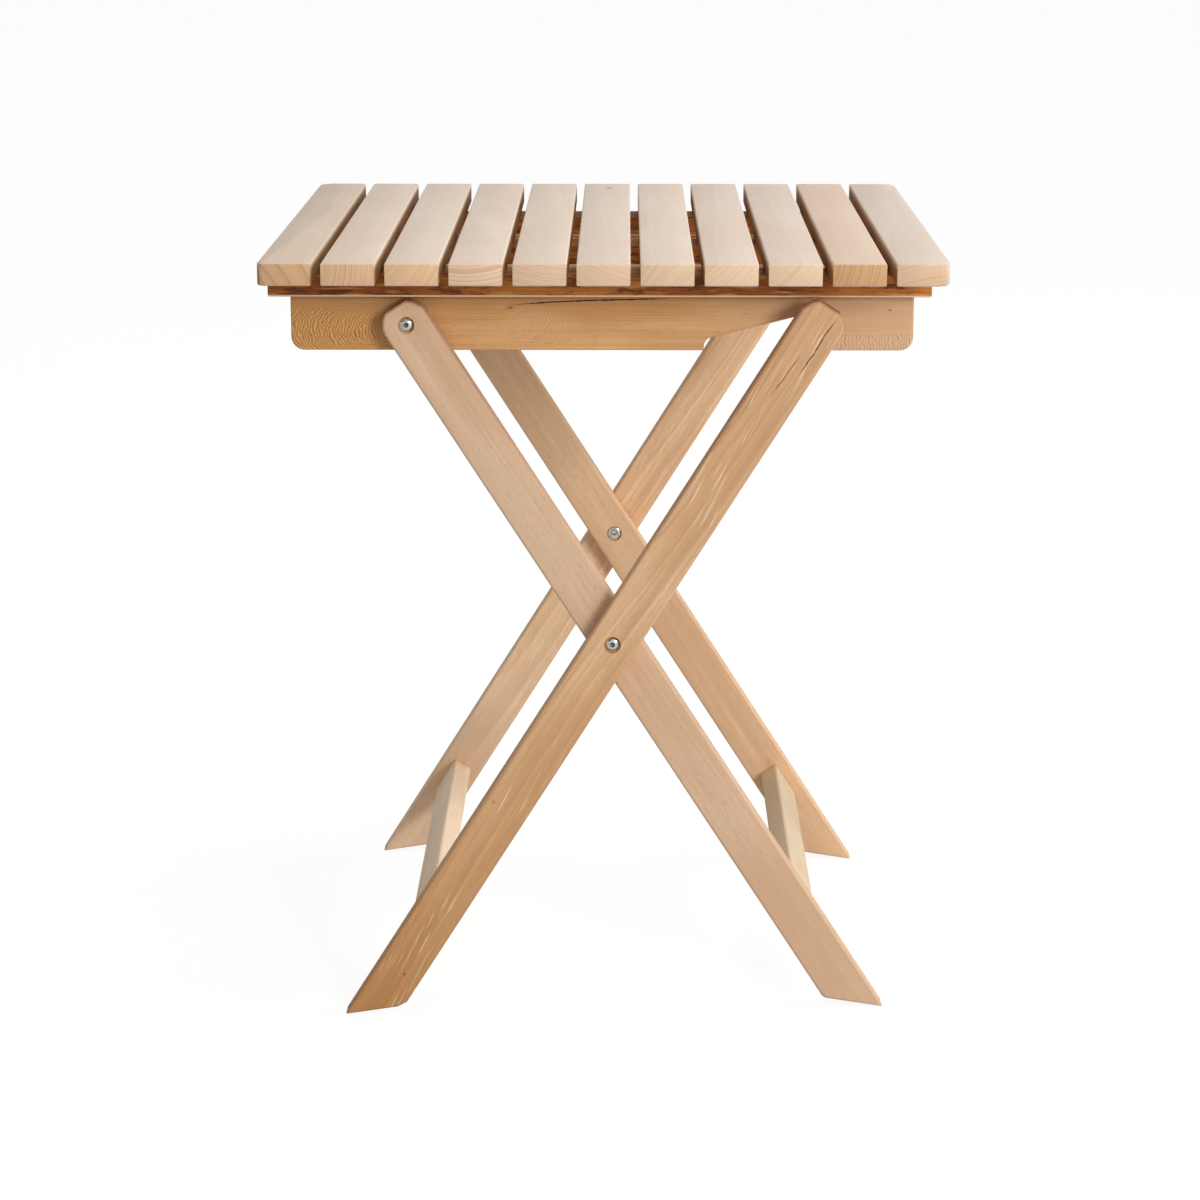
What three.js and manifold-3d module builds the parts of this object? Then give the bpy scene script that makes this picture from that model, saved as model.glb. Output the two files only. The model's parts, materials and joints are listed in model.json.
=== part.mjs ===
// Folding picnic table: a slatted top hinged to an inner leg frame, and an outer leg
// frame that crosses the inner one and props the top through a rod in two notches.
// Millimetres, +Z up, +Y towards the rear. The origin is on the floor under the
// centre of the top.

import * as THREE from 'three';
import { mergeVertices } from 'three/addons/utils/BufferGeometryUtils.js';
import Module from 'manifold-3d';

const wasm = await Module();
wasm.setup();

// ---------------------------------------------------------------- driving dimensions
const GAP = 0.3; // clearance between pieces that touch
const OVERLAP = 0.01; // how far two joined cutting tools run into each other
const TOP_HEIGHT = 720;

const SLAT_COUNT = 11;
const SLAT_PITCH = 55.9;
const SLAT_WIDTH = 47.4;
const SLAT_LENGTH = 600;
const BOARD_THICKNESS = 20; // slats, battens and aprons alike
const SLAT_EDGE = 1.2;
const FRONT_LEFT_EASE = { x: 6.5, y: 8, steps: 3 }; // the top's corners, seen from above
const FRONT_RIGHT_EASE = { x: 10, y: 15, steps: 2 };
const REAR_EASE = { x: 14, y: 14, steps: 6 };

const BATTEN_LENGTH = 595;
const BATTEN_WIDTH = 49;
const BATTEN_SHIFT = -4; // the battens sit a little to the left under the slats
const BATTEN_EDGE = 1.6;
const BATTEN_Y = { front: -206.5, middle: -10, rear: 206.5 };

const APRON_LENGTH = 565;
const APRON_SHIFT = -2;
const APRON_DEPTH = 53;
const APRON_CORNER = 12;
const APRON_EDGE = 1.2;
const NOTCH_SLOPE = THREE.MathUtils.degToRad(14.1);
const NOTCH_LEFT = 90.6;
const NOTCH_ROUNDING = 8;

const LEG_WIDTH = 42.6;
const LEG_THICKNESS = 22;
const LEG_EDGE = 1.8;
const INNER_END = 18.8; // from the top pivot to the leg's flat top end
const OUTER_END = 24.6; // from the rod to the leg's flat top end
const CLIP_TOP = 11.5; // where the end's clip starts, across from the leg's axis
const CLIP_MIDDLE = { x: 16.4, drop: 5 };
const CLIP_SIDE = 13.3; // where the clip meets the leg's edge, below the end
const WASHER_SPACE = 1.5; // gap between faces that turn against each other
const OUTER_FACE = 248.4; // outer faces of the outer legs, from the centre plane

const CROSSING = { x: 8, z: 362 }; // the axis where the two frames cross
const INNER_ARM = 346; // from the crossing up to the top pivot
const OUTER_ARM = 342; // from the crossing up to the support rod
const INNER_LEAN = THREE.MathUtils.degToRad(32.6);
const OUTER_LEAN = THREE.MathUtils.degToRad(32.03);
const FOOT_ANGLE = THREE.MathUtils.degToRad(8.7); // the sole rises from the tip
const INNER_HEEL = { x: 2.6, z: 1.4 }; // clip at the sole's other end
const OUTER_HEEL = { x: 6.3, z: 3.6 };

const RAIL_WIDTH = 20;
const RAIL_HEIGHT = 40;
const RAIL_EDGE = 1.8;
const RAIL_BELOW = 328; // from the crossing down to the rail's centre

const ROD_RADIUS = 9;
const ROD_SEAT = 0.5; // clearance of the seat over the rod
const ROD_SOCKET = 12; // how far the rod enters each outer leg
const ROD_CHAMFER = 1.5;
const ROD_SIDES = 28;

const DOWEL_RADIUS = 4;
const DOWEL_SPACING = 20;
const DOWEL_IN_LEG = 13;
const DOWEL_IN_RAIL = 17;
const DOWEL_CHAMFER = 0.9;
const DOWEL_CLEARANCE = 0.2;
const DOWEL_SIDES = 14;

const BOLT_HEAD_RADIUS = 6.5;
const BOLT_DOME = 3.4;
const BOLT_RIM = 0.5; // straight part of the head below the dome
const BOLT_RADIUS = 3;
const BOLT_SHORTER = 4; // the shank stops this far short of the grip
const BOLT_SOCKET = 2.3; // centre to corner of the hex socket
const BOLT_SOCKET_DEPTH = 2.2;
const SLEEVE_RADIUS = 4.4;
const SLEEVE_FLANGE = 2.2;
const SLEEVE_FLANGE_CHAMFER = { r: 1, y: 0.6 };
const SLEEVE_STEP = { r: 0.8, from: 2.6, to: 2 }; // where the thread narrows the bore
const THREAD_CLEARANCE = 0.2;
const SEAT_CLEARANCE = 0.2;
const BORE_CLEARANCE = 0.3;
const COUNTERBORE_RADIUS = 7.7;
const COUNTERBORE_DEPTH = 4.6;
const WASHER_RADIUS = 9;
const WASHER_THICKNESS = 1;
const HARDWARE_SIDES = 20;

const SCREW_X = [-236, 0, 236];
const SCREW_HEAD_RADIUS = 4.2;
const SCREW_HEAD_RIM = 0.6;
const SCREW_RADIUS = 2.1;
const SCREW_LENGTH = 44;
const SCREW_TAPER = 5; // the shank narrows to its point over this length
const SCREW_POINT = 2;
const SCREW_SUNK = 0.4;
const SCREW_CLEARANCE = 0.3;
const SCREW_MOUTH = 2; // height of the cut that frees the head
const SCREW_SIDES = 12;

// ---------------------------------------------------------------- derived dimensions
const SLAT_BOTTOM = TOP_HEIGHT - BOARD_THICKNESS;
const BATTEN_BOTTOM = SLAT_BOTTOM - BOARD_THICKNESS;
const APRON_BOTTOM = BATTEN_BOTTOM - APRON_DEPTH;
const OUTER_INSIDE = OUTER_FACE - LEG_THICKNESS;
const INNER_FACE = OUTER_INSIDE - WASHER_SPACE;
const INNER_INSIDE = INNER_FACE - LEG_THICKNESS;
const APRON_FACE = INNER_INSIDE - WASHER_SPACE;
const APRON_INSIDE = APRON_FACE - BOARD_THICKNESS;
const APRON_MIDDLE = (APRON_FACE + APRON_INSIDE) / 2;
const SCREW_TOP = SLAT_BOTTOM - GAP / 2 - SCREW_SUNK;
const HALF_LEG = LEG_WIDTH / 2;
const DOWEL_Z = [-RAIL_BELOW - DOWEL_SPACING / 2, -RAIL_BELOW + DOWEL_SPACING / 2];
const SIDES = Object.entries({ front: -1, rear: 1 });

function armEnd(arm, lean, side) {
  const x = CROSSING.x + side * arm * Math.sin(lean);
  const z = CROSSING.z + arm * Math.cos(lean);
  return { x, z };
}

const TOP_PIVOT = armEnd(INNER_ARM, INNER_LEAN, -1);
const ROD = armEnd(OUTER_ARM, OUTER_LEAN, 1);

// ---------------------------------------------------------------- materials
const FINISH = {
  slat: { color: 0xdcc9b3, roughness: 0.62, metalness: 0 },
  batten: { color: 0x9a622c, roughness: 0.66, metalness: 0 },
  apron: { color: 0xbe8c57, roughness: 0.62, metalness: 0 },
  innerLeg: { color: 0xd3b294, roughness: 0.6, metalness: 0 },
  outerLeg: { color: 0xc49a6c, roughness: 0.6, metalness: 0 },
  rail: { color: 0xd8bfa2, roughness: 0.62, metalness: 0 },
  dowel: { color: 0xd9bf97, roughness: 0.7, metalness: 0 },
  steel: { color: 0xc4c8cc, roughness: 0.28, metalness: 1 },
};

// ---------------------------------------------------------------- solids
function toSolid(geometry) {
  const plain = geometry.index ? geometry.toNonIndexed() : geometry.clone();
  plain.deleteAttribute('normal');
  plain.deleteAttribute('uv');
  const merged = mergeVertices(plain, 1e-4);
  const mesh = new wasm.Mesh({
    numProp: 3,
    vertProperties: new Float32Array(merged.attributes.position.array),
    triVerts: new Uint32Array(merged.index.array),
  });
  return new wasm.Manifold(mesh);
}

function toGeometry(solid) {
  const mesh = solid.getMesh();
  const geometry = new THREE.BufferGeometry();
  geometry.setAttribute('position', new THREE.BufferAttribute(mesh.vertProperties, 3));
  geometry.setIndex(new THREE.BufferAttribute(mesh.triVerts, 1));
  geometry.computeVertexNormals();
  return geometry;
}

function cut(geometry, tools) {
  const start = toSolid(geometry);
  const result = tools.reduce((solid, tool) => solid.subtract(toSolid(tool)), start);
  return toGeometry(result);
}

function piece(name, geometry, finish) {
  const mesh = new THREE.Mesh(geometry, new THREE.MeshStandardMaterial(FINISH[finish]));
  mesh.name = name;
  return mesh;
}

// An outline in X and Z, extruded along Y from nearY to farY, with its rims chamfered.
function boardXZ(points, nearY, farY, edge) {
  const shape = new THREE.Shape(points.map(([x, z]) => new THREE.Vector2(x, z)));
  const geometry = new THREE.ExtrudeGeometry(shape, {
    depth: farY - nearY - 2 * edge,
    bevelEnabled: edge > 0,
    bevelThickness: edge,
    bevelSize: edge,
    bevelOffset: -edge,
    bevelSegments: 1,
    steps: 1,
  });
  geometry.translate(0, 0, edge);
  geometry.rotateX(Math.PI / 2);
  geometry.translate(0, farY, 0);
  return geometry;
}

// An outline in X and Y, extruded up from bottom to top, with its rims rounded.
function boardXY(points, bottom, top, edge) {
  const shape = new THREE.Shape(points.map(([x, y]) => new THREE.Vector2(x, y)));
  const geometry = new THREE.ExtrudeGeometry(shape, {
    depth: top - bottom - 2 * edge,
    bevelThickness: edge,
    bevelSize: edge,
    bevelOffset: -edge,
    bevelSegments: 2,
    steps: 1,
  });
  geometry.translate(0, 0, bottom + edge);
  return geometry;
}

function toVectors(profile) {
  return profile.map(([r, y]) => new THREE.Vector2(r, y));
}

// A round bar along Y between two places.
function barY(radius, nearY, farY, x, z, sides = 24) {
  const geometry = new THREE.CylinderGeometry(radius, radius, farY - nearY, sides);
  geometry.translate(x, (nearY + farY) / 2, z);
  return geometry;
}

// Points along an elliptical arc, angles in degrees.
function arc(centreX, centreZ, radiusX, radiusZ, fromDeg, toDeg, steps) {
  const points = [];
  for (let i = 0; i <= steps; i += 1) {
    const angle = THREE.MathUtils.degToRad(fromDeg + ((toDeg - fromDeg) * i) / steps);
    points.push([centreX + radiusX * Math.cos(angle), centreZ + radiusZ * Math.sin(angle)]);
  }
  return points;
}

// ---------------------------------------------------------------- top
// A slat's plan, square at every corner.
function plainPlan() {
  const right = SLAT_WIDTH / 2;
  const far = SLAT_LENGTH / 2;
  return [[-right, -far], [right, -far], [right, far], [-right, far]];
}

// The plan of a slat whose two right corners are eased.
function easedPlan(front, rear) {
  const right = SLAT_WIDTH / 2;
  const far = SLAT_LENGTH / 2;
  return [
    [-right, -far],
    ...arc(right - front.x, -far + front.y, front.x, front.y, -90, 0, front.steps),
    ...arc(right - rear.x, far - rear.y, rear.x, rear.y, 0, 90, rear.steps),
    [-right, far],
  ];
}

function mirrored(points) {
  return points.map(([x, y]) => [-x, y]).reverse();
}

function makeSlats() {
  const group = new THREE.Group();
  const plans = Array(SLAT_COUNT).fill(plainPlan());
  plans[0] = mirrored(easedPlan(FRONT_LEFT_EASE, REAR_EASE));
  plans[SLAT_COUNT - 1] = easedPlan(FRONT_RIGHT_EASE, REAR_EASE);
  plans.forEach((plan, i) => {
    const geometry = boardXY(plan, SLAT_BOTTOM + GAP / 2, TOP_HEIGHT, SLAT_EDGE);
    const slat = piece(`slat_${String(i + 1).padStart(2, '0')}`, geometry, 'slat');
    slat.position.x = (i - (SLAT_COUNT - 1) / 2) * SLAT_PITCH;
    group.add(slat);
  });
  return group;
}

// A countersunk wood screw, revolved about Z with its head's top at height 0, or the
// hole that clears it all round by a margin.
function screwGeometry(margin, x, y, z) {
  const head = SCREW_HEAD_RADIUS + margin;
  const shank = SCREW_RADIUS + margin;
  const profile = [
    [0, -SCREW_LENGTH - margin],
    [shank / 2, -SCREW_LENGTH - margin + SCREW_POINT],
    [shank, -SCREW_LENGTH + SCREW_TAPER],
    [shank, -head + shank - SCREW_HEAD_RIM],
    [head, -SCREW_HEAD_RIM],
    [head, 0],
    [0, 0],
  ];
  const geometry = new THREE.LatheGeometry(toVectors(profile), SCREW_SIDES);
  geometry.rotateX(Math.PI / 2);
  geometry.translate(x, y, z);
  return geometry;
}

// The open cylinder over a screw's head, through which it is driven.
function screwMouth(x, y) {
  const radius = SCREW_HEAD_RADIUS + SCREW_CLEARANCE;
  const mouth = new THREE.CylinderGeometry(radius, radius, SCREW_MOUTH, SCREW_SIDES);
  mouth.rotateX(Math.PI / 2);
  mouth.translate(x, y, SCREW_TOP + SCREW_MOUTH / 2 - OVERLAP);
  return mouth;
}

function apronScrewHoles(y) {
  return SCREW_X.flatMap((x) => [
    screwGeometry(SCREW_CLEARANCE, x, y, SCREW_TOP),
    screwMouth(x, y),
  ]);
}

function makeBattens() {
  const group = new THREE.Group();
  const half = BATTEN_LENGTH / 2;
  for (const [place, y] of Object.entries(BATTEN_Y)) {
    const near = y - BATTEN_WIDTH / 2;
    const far = y + BATTEN_WIDTH / 2;
    const left = BATTEN_SHIFT - half;
    const right = BATTEN_SHIFT + half;
    const plan = [[left, near], [right, near], [right, far], [left, far]];
    const board = boardXY(plan, BATTEN_BOTTOM + GAP / 2, SLAT_BOTTOM - GAP / 2, BATTEN_EDGE);
    const holes = place === 'middle' ? [] : apronScrewHoles(Math.sign(y) * APRON_MIDDLE);
    group.add(piece(`batten_${place}`, cut(board, holes), 'batten'));
  }
  return group;
}

function makeApronScrews() {
  const group = new THREE.Group();
  for (const [place, side] of SIDES) {
    SCREW_X.forEach((x, i) => {
      const geometry = screwGeometry(0, x, side * APRON_MIDDLE, SCREW_TOP);
      const solid = toGeometry(toSolid(geometry));
      group.add(piece(`apron_screw_${place}_${i + 1}`, solid, 'steel'));
    });
  }
  return group;
}

// The notch that takes the rod: a rounded left wall, a roof that climbs to the right
// and a round seat over the rod, listed from right to left along the apron's bottom.
function notchPoints() {
  const seat = ROD_RADIUS + ROD_SEAT;
  const slope = THREE.MathUtils.radToDeg(NOTCH_SLOPE);
  const seatArc = arc(ROD.x, ROD.z, seat, seat, 0, 90 + slope, 8);
  const [roofX, roofZ] = seatArc[seatArc.length - 1];
  const roofAt = (x) => roofZ - (roofX - x) * Math.tan(NOTCH_SLOPE);
  const turn = NOTCH_ROUNDING;
  const cornerX = NOTCH_LEFT + turn;
  const cornerZ = roofAt(cornerX) - turn / Math.cos(NOTCH_SLOPE);
  const corner = arc(cornerX, cornerZ, turn, turn, 90 + slope, 180, 5);
  const mouth = [[NOTCH_LEFT, APRON_BOTTOM]];
  return [[ROD.x + seat, APRON_BOTTOM], ...seatArc, ...corner, ...mouth];
}

function apronOutline() {
  const left = APRON_SHIFT - APRON_LENGTH / 2;
  const right = APRON_SHIFT + APRON_LENGTH / 2;
  const top = BATTEN_BOTTOM - GAP / 2;
  const r = APRON_CORNER;
  return [
    [left, top],
    ...arc(left + r, APRON_BOTTOM + r, r, r, 180, 270, 6),
    ...notchPoints().reverse(),
    ...arc(right - r, APRON_BOTTOM + r, r, r, 270, 360, 6),
    [right, top],
  ];
}

function makeAprons() {
  const group = new THREE.Group();
  const outline = apronOutline();
  for (const [place, side] of SIDES) {
    const [near, far] = span(side, APRON_INSIDE, APRON_FACE);
    const board = boardXZ(outline, near, far, APRON_EDGE);
    const boreRadius = SLEEVE_RADIUS + BORE_CLEARANCE;
    const bore = barY(boreRadius, near - 1, far + 1, TOP_PIVOT.x, TOP_PIVOT.z);
    const [boreNear, boreFar] = span(side, APRON_INSIDE - 1, APRON_INSIDE + COUNTERBORE_DEPTH);
    const recess = barY(COUNTERBORE_RADIUS, boreNear, boreFar, TOP_PIVOT.x, TOP_PIVOT.z);
    const screws = apronScrewHoles(side * APRON_MIDDLE);
    group.add(piece(`apron_${place}`, cut(board, [bore, recess, ...screws]), 'apron'));
  }
  return group;
}

// The stretch between two distances from the centre plane, on one side of it.
function span(side, inner, outer) {
  return side < 0 ? [-outer, -inner] : [inner, outer];
}

// ---------------------------------------------------------------- leg frames
// A leg stands upright here, with the crossing axis at its origin and its foot's sharp
// tip on the left; its frame's group leans it over.
function footPoints(lean, heel) {
  const drop = CROSSING.z;
  const toLeg = (x, z) => [
    x * Math.cos(lean) - (z - drop) * Math.sin(lean),
    x * Math.sin(lean) + (z - drop) * Math.cos(lean),
  ];
  const edgeX = (side, z) => (side * HALF_LEG + (z - drop) * Math.sin(lean)) / Math.cos(lean);
  const tipX = edgeX(-1, 0);
  const rise = Math.tan(FOOT_ANGLE);
  const spread = Math.tan(lean);
  const heelX = (edgeX(1, 0) - tipX * rise * spread) / (1 - rise * spread);
  const soleX = heelX - heel.x;
  const heelZ = (heelX - tipX) * rise + heel.z;
  return [
    toLeg(tipX, 0),
    toLeg(soleX, (soleX - tipX) * rise),
    toLeg(edgeX(1, heelZ), heelZ),
  ];
}

// The top end is round on the side of the tip's far edge, flat at the end, and has
// its other corner clipped so that it clears the battens. roundZ is the arc's centre.
function legOutline(lean, heel, endZ) {
  const roundZ = endZ - INNER_END;
  const flat = THREE.MathUtils.radToDeg(Math.asin(INNER_END / HALF_LEG));
  return [
    ...footPoints(lean, heel),
    ...arc(0, roundZ, HALF_LEG, HALF_LEG, 0, flat, 6),
    [-CLIP_TOP, endZ],
    [-CLIP_MIDDLE.x, endZ - CLIP_MIDDLE.drop],
    [-HALF_LEG, endZ - CLIP_SIDE],
  ];
}

// The two dowel holes between these distances from the centre plane.
function dowelHoles(side, inner, outer) {
  const [near, far] = span(side, inner, outer);
  const radius = DOWEL_RADIUS + DOWEL_CLEARANCE;
  return DOWEL_Z.map((z) => barY(radius, near, far, 0, z, DOWEL_SIDES));
}

function pivotBore(side, inner, outer, z) {
  const [near, far] = span(side, inner - 1, outer + 1);
  return barY(SLEEVE_RADIUS + BORE_CLEARANCE, near, far, 0, z);
}

function counterbore(side, face, outward, z) {
  const inner = outward ? face - COUNTERBORE_DEPTH : face - 1;
  const outer = outward ? face + 1 : face + COUNTERBORE_DEPTH;
  const [near, far] = span(side, inner, outer);
  return barY(COUNTERBORE_RADIUS, near, far, 0, z);
}

function makeInnerLeg(place, side) {
  const [near, far] = span(side, INNER_INSIDE, INNER_FACE);
  const outline = mirrored(legOutline(INNER_LEAN, INNER_HEEL, INNER_ARM + INNER_END));
  const board = boardXZ(outline, near, far, LEG_EDGE);
  const cuts = [
    pivotBore(side, INNER_INSIDE, INNER_FACE, 0),
    pivotBore(side, INNER_INSIDE, INNER_FACE, INNER_ARM),
    counterbore(side, INNER_INSIDE, false, 0),
    counterbore(side, INNER_FACE, true, INNER_ARM),
    ...dowelHoles(side, INNER_INSIDE - 1, INNER_INSIDE + DOWEL_IN_LEG + GAP),
  ];
  return piece(`inner_leg_${place}`, cut(board, cuts), 'innerLeg');
}

function makeOuterLeg(place, side) {
  const [near, far] = span(side, OUTER_INSIDE, OUTER_FACE);
  const outline = legOutline(OUTER_LEAN, OUTER_HEEL, OUTER_ARM + OUTER_END);
  const board = boardXZ(outline, near, far, LEG_EDGE);
  const [socketNear, socketFar] = span(side, OUTER_INSIDE - 1, OUTER_INSIDE + ROD_SOCKET + GAP);
  const cuts = [
    pivotBore(side, OUTER_INSIDE, OUTER_FACE, 0),
    counterbore(side, OUTER_FACE, true, 0),
    barY(ROD_RADIUS + GAP, socketNear, socketFar, 0, OUTER_ARM, ROD_SIDES),
    ...dowelHoles(side, OUTER_INSIDE - 1, OUTER_INSIDE + DOWEL_IN_LEG + GAP),
  ];
  return piece(`outer_leg_${place}`, cut(board, cuts), 'outerLeg');
}

function makeRail(name, inside) {
  const w = RAIL_WIDTH / 2;
  const h = RAIL_HEIGHT / 2;
  const e = RAIL_EDGE;
  const section = [
    [-w + e, -h], [w - e, -h], [w, -h + e], [w, h - e],
    [w - e, h], [-w + e, h], [-w, h - e], [-w, -h + e],
  ].map(([x, z]) => [x, z - RAIL_BELOW]);
  const end = inside - GAP;
  const rail = boardXZ(section, -end, end, 0);
  const holes = SIDES.flatMap(([, side]) => dowelHoles(side, end - DOWEL_IN_RAIL - GAP, end + 1));
  return piece(name, cut(rail, holes), 'rail');
}

// A round bar along Y from -half to half, chamfered at both ends.
function chamferedBar(radius, half, chamfer, sides) {
  const profile = [
    [0, -half],
    [radius - chamfer, -half],
    [radius, -half + chamfer],
    [radius, half - chamfer],
    [radius - chamfer, half],
    [0, half],
  ];
  return toGeometry(toSolid(new THREE.LatheGeometry(toVectors(profile), sides)));
}

function makeDowels(prefix, inside) {
  const group = new THREE.Group();
  const half = (DOWEL_IN_LEG + DOWEL_IN_RAIL) / 2;
  const middle = inside + (DOWEL_IN_LEG - DOWEL_IN_RAIL) / 2;
  for (const [place, side] of SIDES) {
    DOWEL_Z.forEach((z, i) => {
      const level = ['low', 'high'][i];
      const geometry = chamferedBar(DOWEL_RADIUS, half, DOWEL_CHAMFER, DOWEL_SIDES);
      const dowel = piece(`${prefix}_dowel_${place}_${level}`, geometry, 'dowel');
      dowel.position.set(0, side * middle, z);
      group.add(dowel);
    });
  }
  return group;
}

function makeRod() {
  const half = OUTER_INSIDE + ROD_SOCKET;
  const rod = piece('support_rod', chamferedBar(ROD_RADIUS, half, ROD_CHAMFER, ROD_SIDES), 'rail');
  rod.position.z = OUTER_ARM;
  return rod;
}

// ---------------------------------------------------------------- pivot hardware
// Each pivot is a domed bolt screwed into a flanged sleeve nut. Lengths run inwards
// from the seat under the bolt's head, which is at 0.
function boltGeometry(grip) {
  const end = -grip + BOLT_SHORTER;
  const domeHeight = BOLT_DOME - BOLT_RIM;
  const profile = [
    [0, end],
    [BOLT_RADIUS, end],
    [BOLT_RADIUS, 0],
    [BOLT_HEAD_RADIUS, 0],
    ...arc(0, BOLT_RIM, BOLT_HEAD_RADIUS, domeHeight, 0, 67.5, 3),
    [0, BOLT_DOME],
  ];
  const socket = new THREE.CylinderGeometry(BOLT_SOCKET, BOLT_SOCKET, 2 * BOLT_SOCKET_DEPTH, 6);
  socket.translate(0, BOLT_DOME, 0);
  return cut(new THREE.LatheGeometry(toVectors(profile), HARDWARE_SIDES), [socket]);
}

function sleeveGeometry(grip) {
  const bore = BOLT_RADIUS + THREAD_CLEARANCE;
  const thread = bore - SLEEVE_STEP.r;
  const end = -grip - SLEEVE_FLANGE;
  const profile = [
    [bore, -GAP],
    [bore, -grip + SLEEVE_STEP.from],
    [thread, -grip + SLEEVE_STEP.to],
    [thread, end],
    [BOLT_HEAD_RADIUS - SLEEVE_FLANGE_CHAMFER.r, end],
    [BOLT_HEAD_RADIUS, end + SLEEVE_FLANGE_CHAMFER.y],
    [BOLT_HEAD_RADIUS, -grip],
    [SLEEVE_RADIUS, -grip],
    [SLEEVE_RADIUS, -GAP],
    [bore, -GAP],
  ];
  return toGeometry(toSolid(new THREE.LatheGeometry(toVectors(profile), HARDWARE_SIDES)));
}

function washerGeometry() {
  const half = WASHER_THICKNESS / 2;
  const bore = SLEEVE_RADIUS + BORE_CLEARANCE;
  const profile = [
    [bore, -half],
    [WASHER_RADIUS, -half],
    [WASHER_RADIUS, half],
    [bore, half],
    [bore, -half],
  ];
  return toGeometry(toSolid(new THREE.LatheGeometry(toVectors(profile), HARDWARE_SIDES)));
}

// One pivot: its head sits in the outer board's counterbore, its nut in the inner one's.
function makePivot(name, place, side, headFace, nutFace, washerFace, z) {
  const group = new THREE.Group();
  const seat = headFace - COUNTERBORE_DEPTH + SEAT_CLEARANCE;
  const grip = seat - (nutFace + COUNTERBORE_DEPTH) + SEAT_CLEARANCE;
  const bolt = piece(`${name}_bolt_${place}`, boltGeometry(grip), 'steel');
  const nut = piece(`${name}_sleeve_nut_${place}`, sleeveGeometry(grip), 'steel');
  const washer = piece(`${name}_washer_${place}`, washerGeometry(), 'steel');
  for (const part of [bolt, nut, washer]) {
    part.rotation.x = side < 0 ? Math.PI : 0;
    part.position.set(0, side * seat, z);
    group.add(part);
  }
  washer.position.y = side * washerFace;
  return group;
}

function makeInnerFrame() {
  const frame = new THREE.Group();
  frame.position.set(CROSSING.x, 0, CROSSING.z);
  frame.rotation.y = -INNER_LEAN;
  for (const [place, side] of SIDES) {
    frame.add(makeInnerLeg(place, side));
    const gap = WASHER_SPACE / 2;
    frame.add(makePivot('crossing', place, side, OUTER_FACE, INNER_INSIDE, INNER_FACE + gap, 0));
    frame.add(makePivot('top_pivot', place, side, INNER_FACE, APRON_INSIDE, APRON_FACE + gap, INNER_ARM));
  }
  frame.add(makeRail('inner_stretcher', INNER_INSIDE));
  frame.add(makeDowels('inner', INNER_INSIDE));
  return frame;
}

function makeOuterFrame() {
  const frame = new THREE.Group();
  frame.position.set(CROSSING.x, 0, CROSSING.z);
  frame.rotation.y = OUTER_LEAN;
  for (const [place, side] of SIDES) {
    frame.add(makeOuterLeg(place, side));
  }
  frame.add(makeRail('outer_stretcher', OUTER_INSIDE));
  frame.add(makeDowels('outer', OUTER_INSIDE));
  frame.add(makeRod());
  return frame;
}

function makeTop() {
  const top = new THREE.Group();
  top.add(makeSlats(), makeBattens(), makeAprons(), makeApronScrews());
  return top;
}

const table = new THREE.Group();
table.add(makeTop(), makeInnerFrame(), makeOuterFrame());

export default table;
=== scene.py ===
"""Looks for the folding picnic table: solid-wood boards, zinc hardware, studio and camera.

Metres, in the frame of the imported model: +Z up, +Y towards the rear, floor at z = 0.
"""

import json
import math

import bmesh
import bpy
from mathutils import Matrix, Vector


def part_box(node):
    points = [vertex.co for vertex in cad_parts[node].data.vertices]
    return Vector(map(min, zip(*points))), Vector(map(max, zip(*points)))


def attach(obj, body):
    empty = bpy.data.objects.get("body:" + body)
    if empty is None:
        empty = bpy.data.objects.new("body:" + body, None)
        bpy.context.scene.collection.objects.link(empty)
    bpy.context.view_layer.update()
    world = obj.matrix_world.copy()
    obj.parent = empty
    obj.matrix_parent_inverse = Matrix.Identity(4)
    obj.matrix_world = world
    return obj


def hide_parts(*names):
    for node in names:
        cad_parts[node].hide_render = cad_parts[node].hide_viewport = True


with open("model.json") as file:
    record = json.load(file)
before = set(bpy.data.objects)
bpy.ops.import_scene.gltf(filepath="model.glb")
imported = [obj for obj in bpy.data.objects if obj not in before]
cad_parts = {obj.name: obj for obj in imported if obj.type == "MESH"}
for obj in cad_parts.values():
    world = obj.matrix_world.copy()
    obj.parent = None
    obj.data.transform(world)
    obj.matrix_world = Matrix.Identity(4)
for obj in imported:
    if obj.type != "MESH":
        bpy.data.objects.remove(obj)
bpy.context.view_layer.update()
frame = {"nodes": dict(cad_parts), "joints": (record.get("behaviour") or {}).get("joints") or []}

# ---------------------------------------------------------------- places from the frame
JOINT_PLACE = {joint["name"]: Vector(joint["pos_m"]) for joint in frame["joints"]}
CROSSING = JOINT_PLACE["legs_fold"]
TOP_PIVOT = JOINT_PLACE["top_tilt"]
SIDES = {"front": -1, "rear": 1}
SLATS = sorted(node for node in frame["nodes"] if node.startswith("slat_"))
BATTENS = ["batten_front", "batten_middle", "batten_rear"]


def middle(node):
    low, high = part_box(node)
    return (low + high) / 2


ROD = middle("support_rod")
INNER_UP = (TOP_PIVOT - CROSSING).normalized()
OUTER_UP = Vector((ROD.x - CROSSING.x, 0, ROD.z - CROSSING.z)).normalized()
ALONG_X = Vector((1, 0, 0))
ALONG_Y = Vector((0, 1, 0))
UP = Vector((0, 0, 1))
FRONT = Vector((0, -1, 0))


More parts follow.
